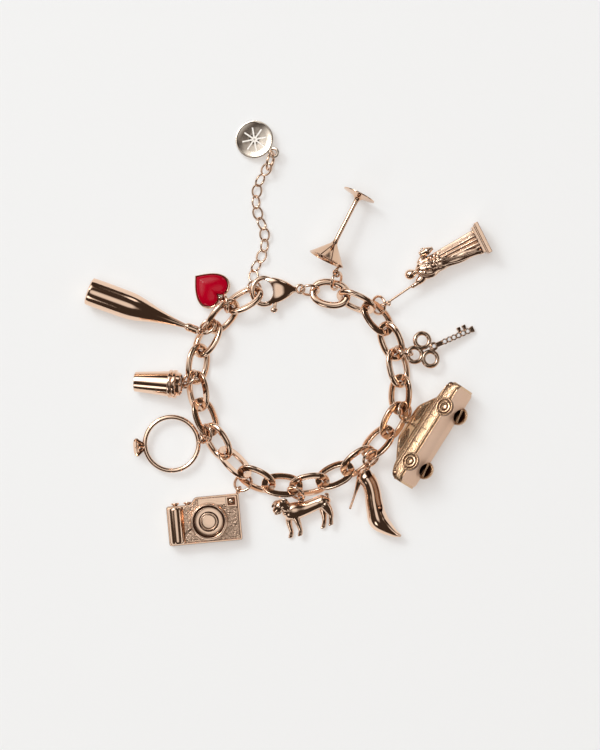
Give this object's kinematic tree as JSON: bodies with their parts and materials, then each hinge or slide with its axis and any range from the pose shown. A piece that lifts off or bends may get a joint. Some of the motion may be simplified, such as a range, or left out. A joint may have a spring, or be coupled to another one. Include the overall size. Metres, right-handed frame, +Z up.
{
  "type": "charm bracelet",
  "caption": "Rose gold charm bracelet of oval belcher links with a lobster clasp, an extender chain with a round tag, and charms such as a car, a camera and a shoe.",
  "frame": {"origin": "bottom centre of the bracelet's bounding box, on the surface it lies on", "axes": "+Z up, away from the surface; +Y from the loop's middle towards the tag's end of the extender; +X towards the side with the car charm"},
  "size_m": [0.1222, 0.1276, 0.014],
  "materials": {
    "rose_gold": "polished, rose gold plated",
    "champagne": "polished, pale plating",
    "red_enamel": "glossy enamel",
    "crystal": "clear cut stone"
  },
  "bodies": {
    "bracelet": {"link_01": "rose_gold", "link_02": "rose_gold", "link_03": "rose_gold", "link_04": "rose_gold", "link_05": "rose_gold", "link_06": "rose_gold", "link_07": "rose_gold", "link_08": "rose_gold", "link_09": "rose_gold", "link_10": "rose_gold", "link_11": "rose_gold", "link_12": "rose_gold", "link_13": "rose_gold", "link_14": "rose_gold", "link_15": "rose_gold", "link_16": "rose_gold", "link_17": "rose_gold", "link_18": "rose_gold", "link_19": "rose_gold", "link_20": "rose_gold", "link_21": "rose_gold", "lobster_clasp": "rose_gold", "extender_chain": "rose_gold", "martini_glass": "rose_gold", "statue_figure": "rose_gold", "key": "rose_gold", "car": "rose_gold", "shoe": "rose_gold", "dog": "rose_gold", "camera": "rose_gold", "finger_ring": "rose_gold", "cup": "rose_gold", "bottle": "rose_gold", "heart": "rose_gold", "clasp_jump_ring": "rose_gold", "tag_jump_ring": "rose_gold", "martini_glass_jump_ring": "rose_gold", "statue_figure_jump_ring": "rose_gold", "key_jump_ring": "rose_gold", "car_jump_ring": "rose_gold", "shoe_jump_ring": "rose_gold", "dog_jump_ring": "rose_gold", "camera_jump_ring": "rose_gold", "finger_ring_jump_ring": "rose_gold", "cup_jump_ring": "rose_gold", "bottle_jump_ring": "rose_gold", "heart_jump_ring": "rose_gold", "tag": "champagne", "heart_enamel": "red_enamel", "key_stone_1": "crystal", "key_stone_2": "crystal", "key_stone_3": "crystal", "key_stone_4": "crystal", "key_stone_5": "crystal", "key_stone_6": "crystal", "key_stone_7": "crystal"},
    "lever": {"clasp_lever": "rose_gold"}
  },
  "joints": [
    {"name": "clasp_lever_hinge", "type": "hinge", "parent": "bracelet", "child": "lever", "pos_m": [-0.00316, 0.0126, 0.0031], "axis": [0.0693, 0.0012, 0.9976], "range_deg": [0, 26], "stiffness_Nm_per_rad": 0.001, "springref_deg": -5.73}
  ]
}
